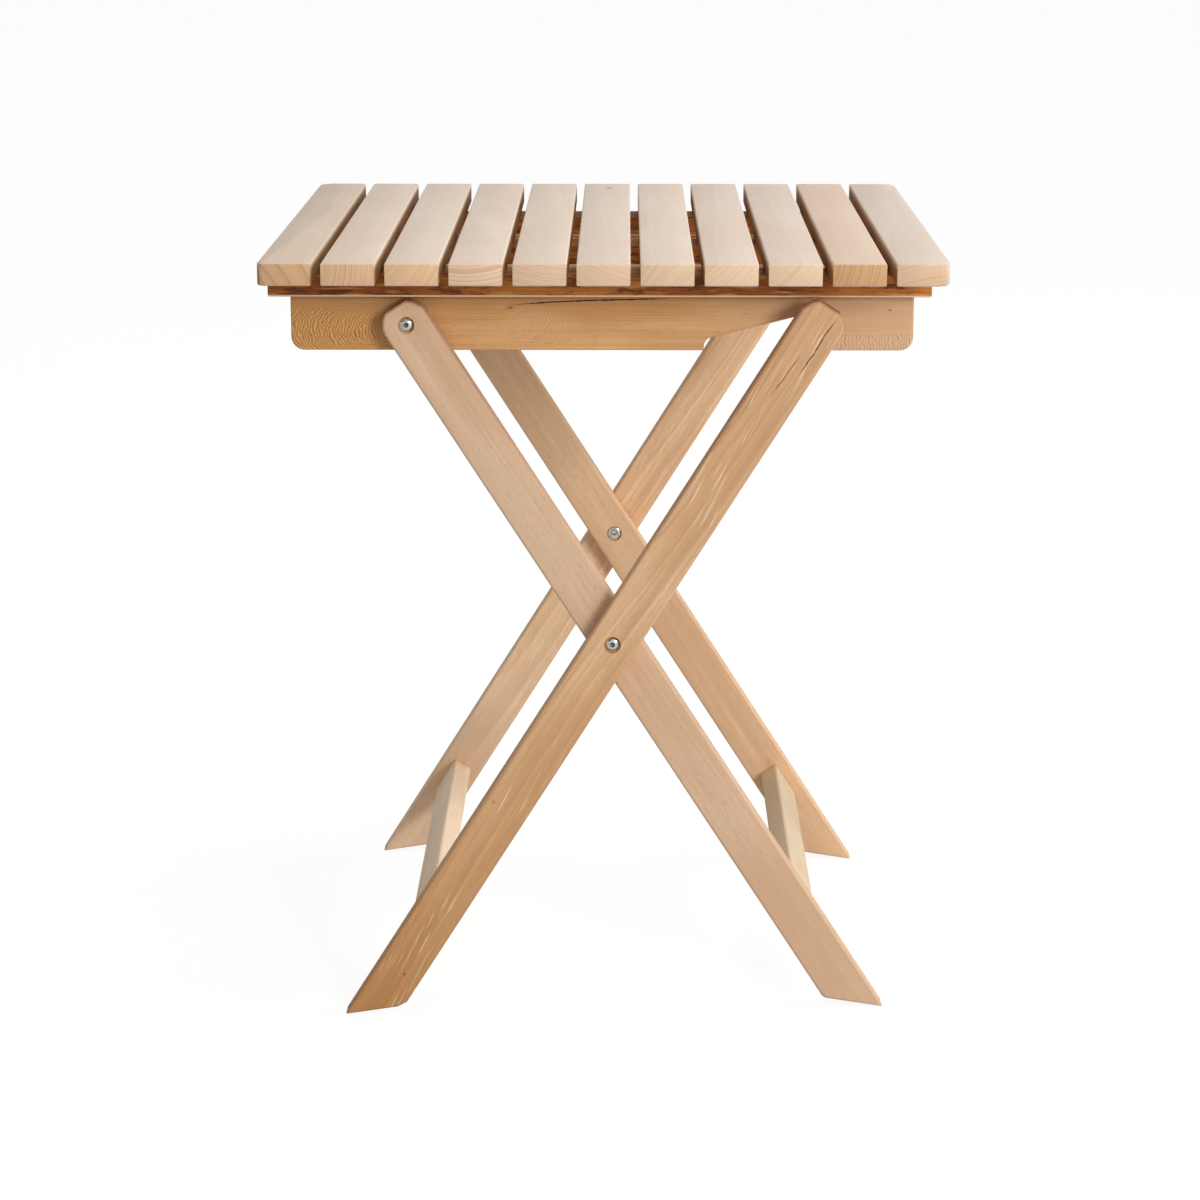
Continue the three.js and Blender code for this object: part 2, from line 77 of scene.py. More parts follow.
# ---------------------------------------------------------------- node graph helper
class Graph:
    """Builds a node graph with short calls. An input is a socket, a number or a vector."""

    def __init__(self, tree):
        self.tree = tree
        tree.nodes.clear()

    def put(self, socket, value):
        if isinstance(value, bpy.types.NodeSocket):
            self.tree.links.new(value, socket)
        elif hasattr(value, "__len__"):
            size = len(socket.default_value)
            socket.default_value = (tuple(value) + (1.0,) * size)[:size]
        else:
            socket.default_value = value

    def node(self, kind, inputs=(), **settings):
        made = self.tree.nodes.new(kind)
        for key, value in settings.items():
            setattr(made, key, value)
        for key, value in dict(inputs).items():
            self.put(made.inputs[key], value)
        return made

    def math(self, operation, *values):
        inputs = dict(enumerate(values))
        return self.node("ShaderNodeMath", inputs, operation=operation).outputs[0]

    def times(self, *values):
        product = values[0]
        for value in values[1:]:
            product = self.math("MULTIPLY", product, value)
        return product

    def vector(self, operation, a, b=(0, 0, 0), out=0):
        """Vector arithmetic. Output 0 is a vector, and 1 a number, as for a length."""
        return self.node("ShaderNodeVectorMath", {0: a, 1: b}, operation=operation).outputs[out]

    def scaled(self, a, factor):
        made = self.node("ShaderNodeVectorMath", {0: a, "Scale": factor}, operation="SCALE")
        return made.outputs[0]

    def split(self, a):
        return self.node("ShaderNodeSeparateXYZ", {0: a}).outputs

    def join(self, x, y, z):
        return self.node("ShaderNodeCombineXYZ", {0: x, 1: y, 2: z}).outputs[0]

    def mix(self, share, a, b):
        """Colour a with a share of colour b: the node's sockets 6 and 7 take colours."""
        made = self.node("ShaderNodeMix", data_type="RGBA", clamp_factor=True)
        for index, value in ((0, share), (6, a), (7, b)):
            self.put(made.inputs[index], value)
        return made.outputs[2]

    def noise(self, vector, scale=1.0, detail=2.0, roughness=0.5, out=0):
        """Noise in space. Output 0 is one number, and 1 a colour of three."""
        inputs = {"Vector": vector, "Scale": scale, "Detail": detail, "Roughness": roughness}
        return self.node("ShaderNodeTexNoise", inputs).outputs[out]

    def noise_line(self, value, scale):
        """A repeatable noise along one number."""
        inputs = {"W": value, "Scale": scale, "Detail": 1.0}
        return self.node("ShaderNodeTexNoise", inputs, noise_dimensions="1D").outputs[0]

    def curve(self, value, stops):
        """A 0 to 1 value as a level, by straight lines between (value, level) stops."""
        made = self.node("ShaderNodeValToRGB", {"Fac": value})
        points = made.color_ramp.elements
        while len(points) < len(stops):
            points.new(0.5)
        for point, (place, level) in zip(points, stops):
            point.position = place
            point.color = (level, level, level, 1)
        return made.outputs[0]

    def band(self, value, low, high):
        """0 at low and 1 at high, smooth between; low may be above high."""
        made = self.node("ShaderNodeMapRange", {"Value": value, 1: low, 2: high},
                         interpolation_type="SMOOTHSTEP")
        return made.outputs[0]

    def level(self, value, low, high):
        """A 0 to 1 value as one between low and high."""
        return self.math("MULTIPLY_ADD", value, high - low, low)


def rgb(red, green, blue):
    """A colour given in display levels from 0 to 255, as linear light."""
    def linear(level):
        share = level / 255
        return share / 12.92 if share <= 0.04045 else ((share + 0.055) / 1.055) ** 2.4
    return tuple(linear(level) for level in (red, green, blue))


def new_material(name):
    material = bpy.data.materials.new(name)
    material.use_nodes = True
    return material, Graph(material.node_tree)


def finish_material(graph, **inputs):
    """Ends a material in one shader; an underscore stands for a space in a socket's name."""
    named = {key.replace("_", " "): value for key, value in inputs.items()}
    shader = graph.node("ShaderNodeBsdfPrincipled", named)
    output = graph.node("ShaderNodeOutputMaterial")
    graph.put(output.inputs[0], shader.outputs[0])


# ---------------------------------------------------------------- wood
# Growth through one year: pale early wood, then a denser line that ends sharply.
YEAR = ((0.0, 0.05), (0.45, 0.12), (0.78, 0.45), (0.94, 1.0), (1.0, 0.05))
WANDER = 0.022          # metres over which a ring strays along a board
RIPPLE = 0.0022         # metres over which it strays in between
UNEVEN = 2.2            # years by which the rings bunch and spread
RELIEF = 0.00015        # metres from a pore's floor to the surface
WOOD_SHINE = 0.28

# Noise cells to a metre: across, along and through a board.
CLOUD = (22, 5, 22)
BROAD = (230, 5, 230)
FIBRE = (1300, 26, 1300)
PORES = (620, 75, 620)
DOTS = 1300.0           # on the ends, the same in every direction
RAYS = 260.0            # on the ends, to a radian round the pith

# Pale and warm clouds, the late wood of a year, then both tones of the end grain, in display
# levels; streak is the strength of the fibres, contrast of the late wood, fleck of the pores.
LOOKS = {
    "slat": dict(pale=(234, 215, 196), warm=(230, 209, 188), late=(212, 183, 156), streak=0.55,
                 end=(240, 208, 175), end_late=(200, 150, 106), contrast=0.22, fleck=0.10),
    "batten": dict(pale=(206, 130, 56), warm=(156, 84, 28), late=(110, 52, 14), streak=1.4,
                   end=(206, 160, 108), end_late=(150, 100, 56), contrast=0.5, fleck=0.3),
    "apron": dict(pale=(224, 177, 122), warm=(204, 150, 93), late=(156, 98, 48), streak=1.5,
                  end=(206, 160, 112), end_late=(160, 110, 66), contrast=0.42, fleck=0.4),
    "inner": dict(pale=(232, 202, 172), warm=(222, 188, 155), late=(196, 154, 116), streak=1.0,
                  end=(222, 182, 142), end_late=(186, 140, 98), contrast=0.32, fleck=0.5),
    "outer": dict(pale=(229, 189, 147), warm=(213, 168, 125), late=(178, 126, 82), streak=1.6,
                  end=(200, 152, 104), end_late=(156, 106, 64), contrast=0.5, fleck=0.4),
    "rail": dict(pale=(234, 212, 186), warm=(222, 197, 168), late=(200, 170, 136), streak=0.8,
                 end=(210, 176, 140), end_late=(176, 136, 98), contrast=0.25, fleck=0.15),
}


def board_space(graph, centre, along, thick):
    """Coordinates inside a board: x across, y along the grain, z through its thickness."""
    across = along.cross(thick)
    turn = Matrix((across, along, thick)).transposed().to_euler()
    coordinates = graph.node("ShaderNodeTexCoord")
    position = graph.node(
        "ShaderNodeMapping",
        {"Vector": coordinates.outputs["Object"], "Location": centre, "Rotation": turn},
        vector_type="TEXTURE",
    ).outputs[0]
    normal = graph.node(
        "ShaderNodeMapping",
        {"Vector": coordinates.outputs["Normal"], "Rotation": turn},
        vector_type="TEXTURE",
    ).outputs[0]
    return position, normal


def ring_phase(graph, position, seeded, log):
    """How many years out from the pith a point lies, and its angle round the pith."""
    slow = graph.noise(graph.vector("MULTIPLY", seeded, (4.0, 1.8, 4.0)), detail=1.0, out=1)
    fine = graph.noise(graph.vector("MULTIPLY", seeded, (34.0, 7.0, 34.0)), out=1)
    wander = graph.scaled(graph.vector("SUBTRACT", slow, (0.5, 0.5, 0.5)), WANDER)
    ripple = graph.scaled(graph.vector("SUBTRACT", fine, (0.5, 0.5, 0.5)), RIPPLE)
    x, y, z = graph.split(graph.vector("ADD", position, graph.vector("ADD", wander, ripple)))
    lean_x, lean_z = log["lean"]
    pith_x, pith_z = log["pith"]
    across = graph.math("MULTIPLY_ADD", y, lean_x, graph.math("SUBTRACT", x, pith_x))
    depth = graph.math("MULTIPLY_ADD", y, lean_z, graph.math("SUBTRACT", z, pith_z))
    radius = graph.vector("LENGTH", graph.join(across, depth, 0.0), out=1)
    phase = graph.math("DIVIDE", radius, log["ring"])
    uneven = graph.math("MULTIPLY", graph.noise_line(phase, 0.45), UNEVEN)
    angle = graph.math("ARCTAN2", depth, across)
    return graph.math("ADD", phase, uneven), angle


def wood(name, kind, node, along, thick, log, extra=None):
    """Solid wood for one board, cut from its own place in a log.

    log holds the pith's place across and through the board, how it leans along it, the
    width of a year's ring, a seed, a tint for the long faces, one for the ends, and how
    plainly the ends show their rings. extra paints single marks on the long faces; for the
    slats it also paints shade, and for the battens a highlight.
    """
    look = LOOKS[kind]
    material, graph = new_material(name)
    position, normal = board_space(graph, middle(node), along, thick)
    seed = log["seed"]
    seeded = graph.vector("ADD", position, (seed * 1.7, seed, seed * 0.3))
    phase, angle = ring_phase(graph, position, seeded, log)
    late = graph.curve(graph.math("FRACT", phase), YEAR)
    year = graph.math("FLOOR", phase)
    tone = graph.node("ShaderNodeTexWhiteNoise", {"W": year}, noise_dimensions="1D").outputs[0]

    end_face = graph.math("ABSOLUTE", graph.split(normal)[1])
    on_end = graph.band(end_face, 0.5, 0.8)
    cloud = graph.noise(graph.vector("MULTIPLY", seeded, CLOUD), detail=3.0)
    broad = graph.noise(graph.vector("MULTIPLY", seeded, BROAD))
    fibre = graph.noise(graph.vector("MULTIPLY", seeded, FIBRE))
    dots = graph.noise(seeded, DOTS, 1.0)
    rays = graph.noise_line(angle, RAYS)

    side = graph.mix(graph.band(cloud, 0.35, 0.65), rgb(*look["pale"]), rgb(*look["warm"]))
    line = graph.times(late, graph.level(tone, 0.45, 1.0))
    side = graph.mix(graph.times(line, look["contrast"]), side, rgb(*look["late"]))
    if extra:
        side = extra(graph, side, dict(position=position, seeded=seeded, normal=normal))
    cells = graph.vector("MULTIPLY", seeded, PORES)
    spot = graph.node("ShaderNodeTexVoronoi", {"Vector": cells, "Scale": 1.0}).outputs["Distance"]
    flecks = graph.times(graph.band(spot, 0.3, 0.1), look["fleck"], graph.band(cloud, 0.7, 0.4))
    side = graph.mix(flecks, side, rgb(*look["late"]))
    streak = 0.07 * look["streak"]
    lines = graph.times(graph.level(broad, 1 - 0.7 * streak, 1 + 0.7 * streak),
                        graph.level(fibre, 1 - streak, 1 + streak),
                        graph.level(tone, 1 - 0.4 * streak, 1 + 0.4 * streak))
    side = graph.vector("MULTIPLY", graph.scaled(side, lines), log["tint"])

    end = graph.mix(graph.times(late, log["rings"]), rgb(*look["end"]), rgb(*look["end_late"]))
    end = graph.scaled(end, graph.times(graph.level(rays, 0.9, 1.08), graph.level(dots, 0.9, 1.1)))
    end = graph.vector("MULTIPLY", end, log["end_tint"])
    colour = graph.mix(on_end, side, end)
    grain = graph.mix(on_end, fibre, dots)
    relief = graph.math("MULTIPLY_ADD", late, 0.4, grain)
    bump = graph.node("ShaderNodeBump", {"Height": relief, "Strength": 0.3, "Distance": RELIEF})
    finish_material(
        graph, Base_Color=colour, Roughness=graph.level(broad, 0.5, 0.64),
        Specular_IOR_Level=WOOD_SHINE, Normal=bump.outputs[0],
    )
    return material


# ---------------------------------------------------------------- marks in the wood, painted shade and a painted highlight
# Places are (across, along) from a board's middle, in metres.
KNOT_WARMTH = (0.4, 0.2, 0.09)


def add_knot(graph, colour, position, place, size, dark, strength=1.0):
    """A knot: a dark core with a warm halo, drawn out along the grain."""
    x, y, _ = graph.split(position)
    across = graph.math("DIVIDE", graph.math("SUBTRACT", x, place[0]), size)
    along = graph.math("DIVIDE", graph.math("SUBTRACT", y, place[1]), size * 1.8)
    rough = graph.noise(position, 420.0)
    reach = graph.vector("LENGTH", graph.join(across, along, 0.0), out=1)
    reach = graph.math("MULTIPLY_ADD", rough, 0.9, reach)
    halo = graph.times(graph.band(reach, 3.2, 1.0), 0.4 * strength)
    core = graph.times(graph.band(reach, 1.5, 0.9), strength)
    warm = tuple(0.35 * d + 0.65 * w for d, w in zip(dark, KNOT_WARMTH))
    return graph.mix(core, graph.mix(halo, colour, warm), dark)


def add_crack(graph, colour, position, start, end, width, dark, wobble=0.002, bend=1.0):
    """A thin dark check between two places, which thins out towards both of them.

    wobble is how far it strays in metres, and a bend under 1 turns it early from its start.
    """
    x, y, _ = graph.split(position)
    share = graph.math("DIVIDE", graph.math("SUBTRACT", y, start[1]), end[1] - start[1])
    bent = graph.math("POWER", graph.math("MAXIMUM", share, 0.0), bend)
    line = graph.math("MULTIPLY_ADD", bent, end[0] - start[0], start[0])
    stray = graph.math("SUBTRACT", graph.noise_line(y, 60.0), 0.5)
    line = graph.math("MULTIPLY_ADD", stray, wobble, line)
    off = graph.math("ABSOLUTE", graph.math("SUBTRACT", x, line))
    body = graph.times(graph.band(share, 0.0, 0.25), graph.band(share, 1.0, 0.75))
    ragged = graph.times(body, graph.level(graph.noise_line(y, 170.0), 0.2, 1.6))
    half = graph.math("MAXIMUM", graph.times(ragged, width / 2), 1e-5)
    mask = graph.band(graph.math("DIVIDE", off, half), 1.25, 0.7)
    mask = graph.times(mask, graph.band(body, 0.0, 0.08))
    return graph.mix(mask, colour, dark)


def add_curl(graph, colour, position, seeded, curl):
    """Curly figure: fine wavy rings round the curl's centre, drawn out by its stretch."""
    x, y, _ = graph.split(position)
    wobble = graph.noise(graph.vector("MULTIPLY", seeded, (130, 100, 130)), detail=2.0)
    across = graph.times(graph.math("SUBTRACT", x, curl["centre"][0]), curl["stretch"][0])
    along = graph.times(graph.math("SUBTRACT", y, curl["centre"][1]), curl["stretch"][1])
    radius = graph.vector("LENGTH", graph.join(across, along, 0.0), out=1)
    turns = graph.math("MULTIPLY_ADD", wobble, curl["wobble"], radius)
    phase = graph.math("FRACT", graph.math("DIVIDE", turns, curl["spacing"]))
    line = graph.curve(phase, ((0, 0.0), (0.3, 0.1), (0.6, 1.0), (0.85, 0.3), (1, 0.0)))
    ground = graph.mix(graph.times(curl["mask"], 0.8), colour, curl["light"])
    return graph.mix(graph.times(line, curl["mask"], 0.8), ground, curl["dark"])


def half_size(node):
    low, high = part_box(node)
    return (high - low) / 2


SLAT_HALF = half_size(SLATS[0])
BATTEN_HALF = half_size(BATTENS[0])
BATTEN_EASE = 0.0014
SLAT_KNOTS = {          # place, size and strength of the knot in a slat that has one
    2: ((0.004, 0.205), 0.0012, 0.5),
    6: ((0.002, 0.262), 0.0022, 0.9),
    9: ((-0.013, 0.215), 0.0010, 0.5),
    11: ((0.010, -0.06), 0.0009, 0.35),
}


def slat_marks(number):
    """A knot in some of the slats, and painted gap shade on every long side but the last:
    brown, and darker further down the side.
    """
    # The last slat's right side gets no painted shade.
    shaded_on_right = float(number < len(SLATS))

    def extra(graph, colour, board):
        if number in SLAT_KNOTS:
            place, size, strength = SLAT_KNOTS[number]
            colour = add_knot(graph, colour, board["position"], place, size, rgb(150, 104, 66),
                              strength)
        facing = graph.split(board["normal"])[0]
        z = graph.split(board["position"])[2]
        left = graph.band(facing, -0.5, -0.8)
        right = graph.times(graph.band(facing, 0.5, 0.8), shaded_on_right)
        # Painted shade: the long sides darken from just under the top arris downwards, as shade in
        # the gaps.
        below = graph.band(z, SLAT_HALF.z - 0.0012, SLAT_HALF.z - 0.0075)
        painted_gap_shade = graph.mix(graph.band(z, 0.004, -0.008), rgb(186, 142, 100), rgb(168, 118, 70))
        return graph.mix(graph.times(graph.math("ADD", left, right), below), colour, painted_gap_shade)
    return extra


def batten_marks(graph, colour, board):
    """Dark patches, as on boards cut near the bark, and a pale painted highlight
    along both lower arrises.
    """
    x, _, z = graph.split(board["position"])
    patch = graph.vector("MULTIPLY", board["seeded"], (130, 34, 130))
    patch = graph.noise(patch, detail=4.0, roughness=0.65)
    streak = graph.noise(graph.vector("MULTIPLY", board["seeded"], (340, 22, 340)), detail=3.0)
    colour = graph.mix(graph.times(graph.band(patch, 0.48, 0.62), 0.85), colour, rgb(96, 42, 10))
    colour = graph.mix(graph.times(graph.band(streak, 0.52, 0.66), 0.6), colour, rgb(222, 156, 78))
    # Painted highlight: both lower long arrises turn pale, as where light catches them.
    within = 1.6 * BATTEN_EASE
    highlight_full = 0.7 * BATTEN_EASE
    out = graph.math("ABSOLUTE", x)
    rim = graph.times(graph.band(out, BATTEN_HALF.y - within, BATTEN_HALF.y - highlight_full),
                      graph.band(z, within - BATTEN_HALF.z, highlight_full - BATTEN_HALF.z))
    return graph.mix(rim, colour, rgb(246, 214, 176))


def apron_marks(graph, colour, board):
    """Curly figure at both ends and beside a knot, a paler right half, and a long top check."""
    position = board["position"]
    seeded = board["seeded"]
    x, y, _ = graph.split(position)
    stray = graph.noise(graph.vector("MULTIPLY", seeded, (30, 14, 30)))
    place = graph.math("MULTIPLY_ADD", stray, 0.05, y)
    depth = graph.math("MULTIPLY_ADD", stray, 0.02, x)
    pale = graph.band(place, 0.10, 0.24)
    colour = graph.mix(graph.times(pale, 0.9), colour, rgb(218, 176, 136))
    left_end = graph.times(graph.band(place, -0.10, -0.15), graph.band(depth, -0.012, 0.004))
    by_knot = graph.times(graph.band(place, -0.074, -0.058), graph.band(place, 0.012, -0.03),
                          graph.band(depth, -0.006, 0.006), 0.85)
    right_end = graph.times(graph.band(place, 0.18, 0.21), graph.band(depth, 0.016, 0.024))
    curls = (
        dict(mask=left_end, centre=(0.008, -0.166), stretch=(1.0, 0.42), spacing=0.00122,
             wobble=0.0036, dark=rgb(132, 70, 22), light=rgb(222, 168, 102)),
        dict(mask=by_knot, centre=(-0.009, -0.079), stretch=(1.0, 0.8), spacing=0.0019,
             wobble=0.0052, dark=rgb(180, 116, 58), light=rgb(228, 182, 128)),
        dict(mask=right_end, centre=(0.000, 0.330), stretch=(0.25, 1.0), spacing=0.0028,
             wobble=0.0085, dark=rgb(192, 136, 98), light=rgb(232, 196, 158)),
    )
    for curl in curls:
        colour = add_curl(graph, colour, position, seeded, curl)
    colour = add_knot(graph, colour, position, (-0.0125, -0.083), 0.0016, rgb(130, 78, 34), 0.7)
    colour = add_knot(graph, colour, position, (-0.0107, 0.2608), 0.0007, rgb(130, 80, 46), 0.8)
    return add_crack(graph, colour, position, (-0.0105, -0.088), (-0.0212, 0.066), 0.0014,
                     rgb(58, 28, 10), wobble=0.0006, bend=0.3)


STREAK_SLANT = 0.09


def add_streaks(graph, colour, seeded, light, amount):
    """Thin pale streaks in patches, a little aslant, as where the blade crosses the grain."""
    x, y, z = graph.split(seeded)
    aslant = graph.join(graph.math("MULTIPLY_ADD", y, STREAK_SLANT, x), y, z)
    streak = graph.noise(graph.vector("MULTIPLY", aslant, (620, 20, 620)), detail=2.0)
    patch = graph.noise(graph.vector("MULTIPLY", aslant, (24, 8, 24)), detail=1.0)
    mask = graph.times(graph.band(streak, 0.58, 0.68), graph.band(patch, 0.46, 0.60))
    return graph.mix(graph.times(mask, amount), colour, light)


def outer_front_marks(graph, colour, board):
    """Darker towards the foot, with pale streaks, two checks near the top and two pin knots."""
    position = board["position"]
    seeded = board["seeded"]
    foot = graph.band(graph.split(position)[1], 0.12, -0.44)
    colour = graph.mix(graph.times(foot, 0.75), colour, rgb(192, 134, 74))
    colour = add_streaks(graph, colour, seeded, rgb(246, 214, 170), 0.7)
    colour = add_crack(graph, colour, position, (0.0160, 0.330), (0.0165, 0.396), 0.0012,
                       rgb(96, 56, 28), 0.003)
    colour = add_crack(graph, colour, position, (0.0045, 0.300), (0.0075, 0.352), 0.0008,
                       rgb(120, 74, 38), 0.002)
    colour = add_knot(graph, colour, position, (0.0120, -0.345), 0.0007, rgb(80, 44, 22))
    return add_knot(graph, colour, position, (-0.0060, -0.155), 0.0007, rgb(110, 66, 34), 0.8)


def outer_rear_marks(graph, colour, board):
    """Paler and pinker towards the foot, with pale streaks."""
    foot = graph.band(graph.split(board["position"])[1], 0.0, -0.3)
    colour = graph.mix(graph.times(foot, 0.7), colour, rgb(238, 202, 166))
    return add_streaks(graph, colour, board["seeded"], rgb(246, 216, 180), 0.5)


# ---------------------------------------------------------------- metal
TURNING_MARK = 0.00005      # metres


def zinc(name, bright, dull, rough):
    """Zinc plating: faint clouds and fine turning marks."""
    material, graph = new_material(name)
    place = graph.node("ShaderNodeTexCoord").outputs["Object"]
    cloud = graph.noise(place, 300.0, 3.0)
    marks = graph.noise(graph.vector("MULTIPLY", place, (2400, 240, 2400)))
    bump = graph.node("ShaderNodeBump", {"Height": marks, "Strength": 0.06,
                                         "Distance": TURNING_MARK})
    finish_material(
        graph, Base_Color=graph.mix(cloud, rgb(*bright), rgb(*dull)), Metallic=1.0,
        Roughness=graph.level(cloud, rough, rough + 0.1), Normal=bump.outputs[0],
    )
    return material


# ---------------------------------------------------------------- boards
EASE = 0.0009                   # width of an eased arris in metres
SHARP = math.radians(32)        # edges flatter than this aren't eased, and shade smooth
SAME_POINT = 1e-6               # metres between points that are one


def smooth_tree():
    """A modifier's node group that shades smooth across every edge flatter than SHARP."""
    tree = bpy.data.node_groups.new("smooth_by_angle", "GeometryNodeTree")
    tree.interface.new_socket("Geometry", in_out="INPUT", socket_type="NodeSocketGeometry")
    tree.interface.new_socket("Geometry", in_out="OUTPUT", socket_type="NodeSocketGeometry")
    graph = Graph(tree)
    start = graph.node("NodeGroupInput")
    faces = graph.node("GeometryNodeSetShadeSmooth", {"Geometry": start.outputs[0]}, domain="FACE")
    angle = graph.node("GeometryNodeInputMeshEdgeAngle").outputs[0]
    edges = graph.node("GeometryNodeSetShadeSmooth", {
        "Geometry": faces.outputs[0],
        "Selection": graph.math("GREATER_THAN", angle, SHARP),
        "Shade Smooth": False,
    }, domain="EDGE")
    end = graph.node("NodeGroupOutput")
    graph.put(end.inputs[0], edges.outputs[0])
    return tree


SMOOTH = smooth_tree()


def dress(node, material, ease=EASE):
    """Gives a CAD node its material, and eases its arrises by modifiers alone."""
    obj = frame["nodes"][node]
    obj.data.materials.clear()
    obj.data.materials.append(material)
    weld = obj.modifiers.new("weld", "WELD")
    weld.merge_threshold = SAME_POINT
    if ease:
        bevel = obj.modifiers.new("ease", "BEVEL")
        bevel.width = ease
        bevel.segments = 2
        bevel.limit_method = "ANGLE"
        bevel.angle_limit = SHARP
    obj.modifiers.new("smooth", "NODES").node_group = SMOOTH


def cut(pith, ring, seed, lean=(0.0, 0.0), tint=(1.0, 1.0, 1.0), end_tint=None, rings=0.7):
    """Where in a log a board was cut, and its tints, for wood()."""
    return dict(pith=pith, ring=ring, seed=seed, lean=lean, tint=tint,
                end_tint=end_tint or tint, rings=rings)


# Where each slat lay in its log, left to right: pith, ring width, seed, lean, then the tints
# of its faces and ends and how plainly its ends show the rings.
SLAT_LOGS = (
    cut((-0.100, -0.060), 0.0105, 0.4, (0.02, 0.01),
        (0.81, 0.79, 0.77), (0.77, 0.67, 0.53), 0.60),
    cut((-0.110, 0.010), 0.0028, 1.8, (0.00, 0.03),
        (0.90, 0.89, 0.90), (0.90, 0.81, 0.72), 0.75),
    cut((-0.090, 0.070), 0.0036, 3.1, (0.01, 0.03),
        (0.92, 0.93, 0.96), (0.94, 0.85, 0.75), 0.55),
    cut((-0.010, 0.085), 0.0040, 4.5, (0.00, -0.03),
        (0.92, 0.92, 0.94), (0.98, 0.96, 0.96), 0.60),
    cut((0.030, 0.120), 0.0030, 5.9, (0.00, 0.02),
        (0.91, 0.92, 0.93), (0.92, 0.89, 0.91), 0.50),
    cut((0.045, 0.090), 0.0026, 7.3, (-0.01, 0.03),
        (0.89, 0.89, 0.90), (0.96, 0.94, 0.92), 0.45),
    cut((0.080, -0.070), 0.0034, 8.6, (0.02, 0.00),
        (0.92, 0.93, 0.95), (0.95, 0.94, 0.94), 0.50),
    cut((-0.070, 0.070), 0.0050, 10.0, (0.00, 0.02),
        (0.90, 0.90, 0.93), (1.01, 1.00, 1.00), 0.25),
    cut((-0.055, 0.060), 0.0042, 11.4, (0.01, -0.02),
        (0.89, 0.89, 0.92), (0.99, 1.00, 1.00), 0.30),
    cut((-0.120, 0.030), 0.0046, 12.7, (0.00, 0.02),
        (0.88, 0.83, 0.79), (0.80, 0.64, 0.48), 0.65),
    cut((0.030, -0.150), 0.0024, 14.1, (0.00, 0.02),
        (0.87, 0.88, 0.91), (0.92, 0.87, 0.82), 0.40),
)


def make_top_wood():
    """Slats, battens and aprons. A seed sets apart boards that are cut alike."""
    for number, (node, log) in enumerate(zip(SLATS, SLAT_LOGS), start=1):
        dress(node, wood(f"{node}_wood", "slat", node, ALONG_Y, UP, log, slat_marks(number)))
    for number, node in enumerate(BATTENS):
        log = cut(pith=(0.03, 0.05), ring=0.004, seed=20.3 + 3.1 * number)
        dress(node, wood(f"{node}_wood", "batten", node, ALONG_X, UP, log, batten_marks),
              BATTEN_EASE)
    for place, side in SIDES.items():
        node = f"apron_{place}"
        log = cut(pith=(-0.090, 0.060), ring=0.0034, seed=33.7 + 5.3 * side, lean=(0.01, 0.02))
        dress(node, wood(f"{node}_wood", "apron", node, ALONG_X, FRONT, log, apron_marks))


# Tints of single boards, worked out by comparing a render with the photo.
INNER_TINT = {"front": (0.95, 0.89, 0.84), "rear": (1.04, 0.945, 0.82)}
OUTER_TINT = {"front": (1.0, 1.0, 1.0), "rear": (1.15, 1.2, 1.26)}
OUTER_MARKS = {"front": outer_front_marks, "rear": outer_rear_marks}
# The stretchers' tints are partly painted light and shade: the outer stretcher is brightened where
# the lamps leave it darker, the inner one darkened where they light it strongly.
RAIL_TINT = {"inner_stretcher": (0.88, 0.85, 0.78), "outer_stretcher": (1.34, 1.32, 1.28),
             "support_rod": (1.0, 0.98, 0.94)}


def make_leg_wood():
    """Both pairs of legs, the stretchers, the support rod and the dowels."""
    for place, side in SIDES.items():
        node = f"inner_leg_{place}"
        log = cut(pith=(0.050, 0.080), ring=0.0036, seed=44.1 + 2.9 * side, lean=(0.0, 0.01),
                  tint=INNER_TINT[place])
        dress(node, wood(f"{node}_wood", "inner", node, INNER_UP, FRONT, log))
        node = f"outer_leg_{place}"
        log = cut(pith=(-0.020, 0.070), ring=0.0038, seed=52.9 + 2.3 * side, lean=(0.0, 0.02),
                  tint=OUTER_TINT[place])
        dress(node, wood(f"{node}_wood", "outer", node, OUTER_UP, FRONT, log, OUTER_MARKS[place]))
    for number, (node, tint) in enumerate(RAIL_TINT.items()):
        log = cut(pith=(0.03, 0.04), ring=0.0034, seed=61.0 + 1.7 * number, tint=tint)
        dress(node, wood(f"{node}_wood", "rail", node, ALONG_Y, UP, log))
    dowel_log = cut(pith=(0.02, 0.01), ring=0.003, seed=70)
    dowel_wood = wood("dowel_wood", "rail", "inner_stretcher", ALONG_Y, UP, dowel_log)
    for node in frame["nodes"]:
        if "_dowel_" in node:
            dress(node, dowel_wood, ease=0)


# ---------------------------------------------------------------- hardware
# Radii and heights in metres. Heights run outwards along the pivot from a head's seat.
ROUND = 64
BOLT_HEAD = dict(radius=0.0065, rim=0.0007, height=0.0034, round_over=0.0004)
BOLT_SHANK = 0.003
SOCKET_FLAT = 0.0020
SOCKET_DEPTH = 0.0021
SLEEVE_RADIUS = 0.0044
SLEEVE_BORE = 0.0026
SHANK_PLAY = 0.0002         # between a bolt's shank and the sleeve round it
BORE_STEP = (-0.0026, -0.0020)      # heights between which a sleeve narrows to its bore
NUT_FLANGE = 0.0022
NUT_EASE = 0.0006
BORE_EASE = 0.0004
WASHER_RADIUS = 0.009
WASHER_PLAY = 0.0003
SCREW_HEAD = dict(radius=0.0040, rim=0.0003, height=0.0019, round_over=0.0002)
SCREW_SHANK = 0.0020
SCREW_DEPTH = 0.0013
SCREW_LENGTH = 0.030
SCREW_CROSS = (0.0021, 0.0008)      # how far the arms and the corners of its recess reach
SCREW_STAND = 0.00005               # between a screw's seat and the batten
APRON_TO_SCREW = 0.0145             # from a batten's outer edge in to its row of screws
POINT_DEPTH = 0.0003                # of the hollow in a recess's floor
